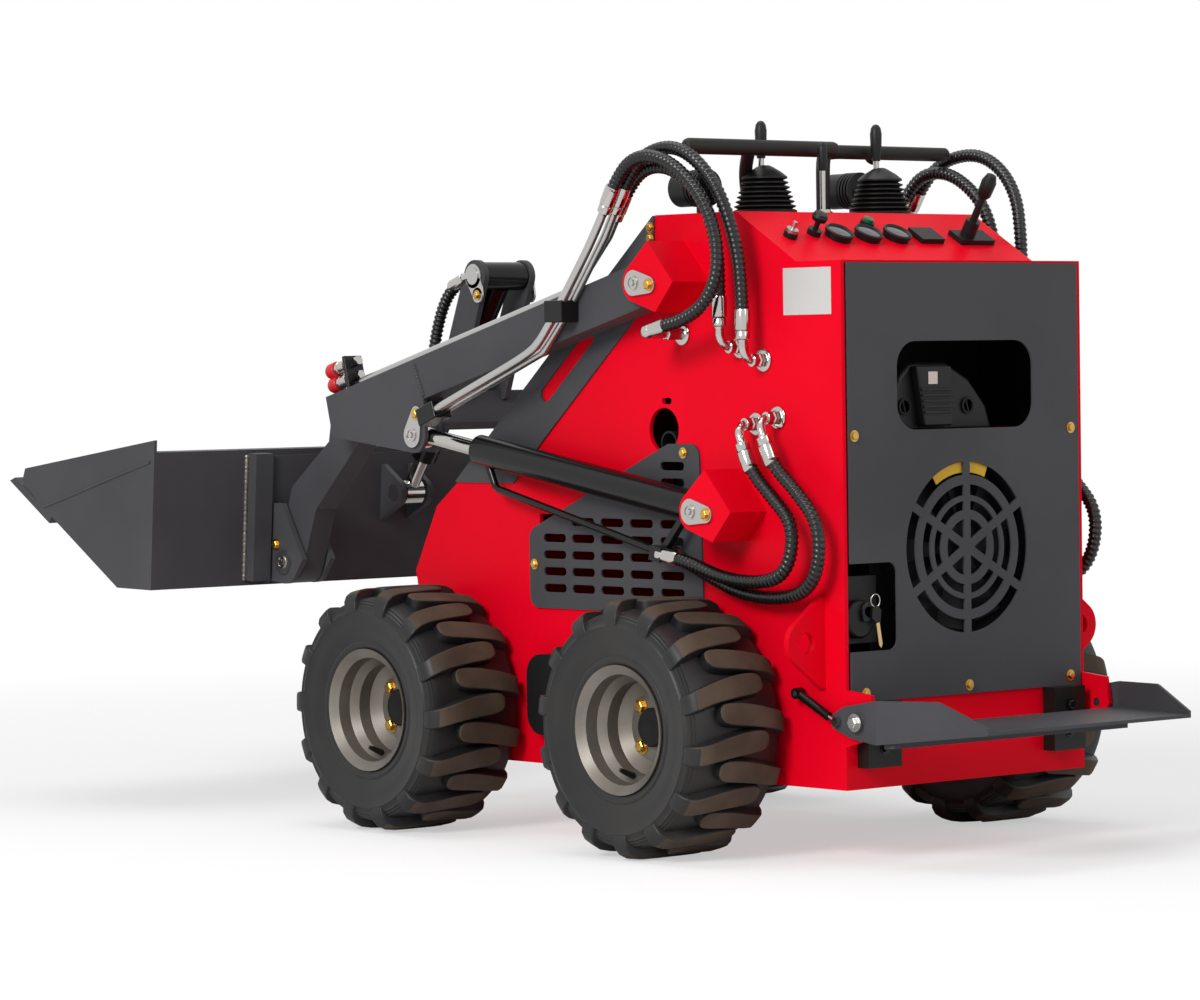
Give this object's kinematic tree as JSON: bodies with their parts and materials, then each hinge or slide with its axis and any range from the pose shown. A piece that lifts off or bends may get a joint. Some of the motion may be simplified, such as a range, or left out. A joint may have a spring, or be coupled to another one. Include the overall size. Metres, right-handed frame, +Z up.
{
  "type": "skid_steer_loader",
  "caption": "Small stand-on skid steer loader with a red body, dark grey loader arms and bucket, lug tyres and a fold-down platform for the operator.",
  "frame": {"origin": "Middle of the machine's outline on the ground", "axes": "+X forward to the bucket, +Y to the machine's left, +Z up"},
  "size_m": [2.463, 1.18, 1.308],
  "materials": {
    "red_paint": "satin",
    "grey_paint": "satin",
    "black_paint": "gloss",
    "silver_paint": "satin",
    "black_plastic": "matte",
    "black_rubber": "matte",
    "tyre_rubber": "matte",
    "chrome_rod": "polished",
    "zinc_steel": "satin",
    "engine_iron": "matte"
  },
  "bodies": {
    "chassis": {"side_wall_left": "red_paint", "side_wall_right": "red_paint", "belly_pan": "red_paint", "dash_deck": "red_paint", "hood": "grey_paint", "rear_panel": "grey_paint", "side_grilles": "grey_paint", "cheek_boxes": "red_paint", "pivot_pins": "zinc_steel", "drive_covers": "black_plastic", "tie_rings": "red_paint", "wheel_motors": "black_paint", "engine": "engine_iron", "air_cleaner": "black_plastic", "fan_ring": "black_plastic", "exhaust": "zinc_steel", "battery_switch": "black_plastic", "platform_stops": "black_rubber", "hand_bars": "black_paint", "lever_boots": "black_rubber", "drive_levers": "black_plastic", "centre_lever": "chrome_rod", "dash_instruments": "black_plastic", "work_lamps": "black_plastic", "wall_fittings": "zinc_steel", "arm_hoses_left": "black_rubber", "arm_hoses_right": "black_rubber", "lift_hoses_left": "black_rubber", "lift_hoses_right": "black_rubber"},
    "lift_arms": {"arm_left": "grey_paint", "arm_right": "grey_paint", "cross_tube": "grey_paint", "arm_legs": "grey_paint", "arm_pins": "zinc_steel", "arm_pipes": "zinc_steel", "aux_couplers": "zinc_steel"},
    "bucket": {"attach_plate": "grey_paint", "attach_pins": "zinc_steel", "bucket_shell": "grey_paint", "cutting_edge": "grey_paint"},
    "lift_cylinder_left": {"lift_barrel_left": "black_paint"},
    "lift_ram_left": {"lift_rod_left": "chrome_rod"},
    "lift_cylinder_right": {"lift_barrel_right": "black_paint"},
    "lift_ram_right": {"lift_rod_right": "chrome_rod"},
    "tilt_cylinder": {"tilt_barrel": "black_paint"},
    "tilt_ram": {"tilt_rod": "chrome_rod"},
    "platform": {"foot_platform": "grey_paint"},
    "strut_cylinder": {"strut_barrel": "black_paint"},
    "strut_ram": {"strut_rod": "chrome_rod"},
    "wheel_fl": {"tyre_fl": "tyre_rubber", "rim_fl": "silver_paint"},
    "wheel_fr": {"tyre_fr": "tyre_rubber", "rim_fr": "silver_paint"},
    "wheel_rl": {"tyre_rl": "tyre_rubber", "rim_rl": "silver_paint"},
    "wheel_rr": {"tyre_rr": "tyre_rubber", "rim_rr": "silver_paint"}
  },
  "joints": [
    {"name": "wheel_fl_turn", "type": "hinge", "parent": "chassis", "child": "wheel_fl", "pos_m": [0.14753, 0.414, 0.23], "axis": [0, 1, 0], "continuous": true},
    {"name": "wheel_fr_turn", "type": "hinge", "parent": "chassis", "child": "wheel_fr", "pos_m": [0.14753, -0.414, 0.23], "axis": [0, 1, 0], "continuous": true},
    {"name": "wheel_rl_turn", "type": "hinge", "parent": "chassis", "child": "wheel_rl", "pos_m": [-0.57647, 0.414, 0.23], "axis": [0, 1, 0], "continuous": true},
    {"name": "wheel_rr_turn", "type": "hinge", "parent": "chassis", "child": "wheel_rr", "pos_m": [-0.57647, -0.414, 0.23], "axis": [0, 1, 0], "continuous": true},
    {"name": "lift", "type": "hinge", "parent": "chassis", "child": "lift_arms", "pos_m": [-0.49247, 0, 1.017], "axis": [0, -1, 0], "range_deg": [-18, 62], "deforming": ["arm_hoses_left", "arm_hoses_right"]},
    {"name": "tilt", "type": "hinge", "parent": "lift_arms", "child": "bucket", "pos_m": [0.66347, 0, 0.48841], "axis": [0, 1, 0], "range_deg": [-8, 90]},
    {"name": "platform_fold", "type": "hinge", "parent": "chassis", "child": "platform", "pos_m": [-0.97147, 0, 0.251], "axis": [0, 1, 0], "range_deg": [0, 55]},
    {"name": "lift_barrel_swing_left", "type": "hinge", "parent": "chassis", "child": "lift_cylinder_left", "pos_m": [-0.63647, 0.337, 0.611], "axis": [0, -1, 0], "range_deg": [-13.61, 44.43], "deforming": ["lift_hoses_left"]},
    {"name": "lift_rod_stroke_left", "type": "slide", "parent": "lift_cylinder_left", "child": "lift_ram_left", "axis": [0.9872, 0, 0.1597], "range_m": [-0.1018, 0.3385]},
    {"name": "lift_barrel_swing_right", "type": "hinge", "parent": "chassis", "child": "lift_cylinder_right", "pos_m": [-0.63647, -0.337, 0.611], "axis": [0, -1, 0], "range_deg": [-13.61, 44.43], "deforming": ["lift_hoses_right"]},
    {"name": "lift_rod_stroke_right", "type": "slide", "parent": "lift_cylinder_right", "child": "lift_ram_right", "axis": [0.9872, 0, 0.1597], "range_m": [-0.1018, 0.3385]},
    {"name": "tilt_barrel_swing", "type": "hinge", "parent": "lift_arms", "child": "tilt_cylinder", "pos_m": [0.35899, 0, 1.0497], "axis": [0, 1, 0], "range_deg": [-5.93, 1.44]},
    {"name": "tilt_rod_stroke", "type": "slide", "parent": "tilt_cylinder", "child": "tilt_ram", "axis": [0.575, 0, -0.8181], "range_m": [-0.0206, 0.18]},
    {"name": "strut_barrel_swing", "type": "hinge", "parent": "chassis", "child": "strut_cylinder", "pos_m": [-0.82647, 0.311, 0.295], "axis": [0, 1, 0], "range_deg": [-13.63, 0]},
    {"name": "strut_rod_stroke", "type": "slide", "parent": "strut_cylinder", "child": "strut_ram", "axis": [-0.9037, 0, -0.4281], "range_m": [0, 0.0402]}
  ],
  "couplings": [
    {"joint": "lift_barrel_swing_left", "follows": "lift", "ratio": 0.7005},
    {"joint": "lift_rod_stroke_left", "follows": "lift", "m_per_rad": 0.30823},
    {"joint": "lift_barrel_swing_right", "follows": "lift", "ratio": 0.7005},
    {"joint": "lift_rod_stroke_right", "follows": "lift", "m_per_rad": 0.30823},
    {"joint": "tilt_barrel_swing", "follows": "tilt", "ratio": -0.0548},
    {"joint": "tilt_rod_stroke", "follows": "tilt", "m_per_rad": 0.11141},
    {"joint": "strut_barrel_swing", "follows": "platform_fold", "ratio": -0.2297},
    {"joint": "strut_rod_stroke", "follows": "platform_fold", "m_per_rad": 0.03874}
  ]
}
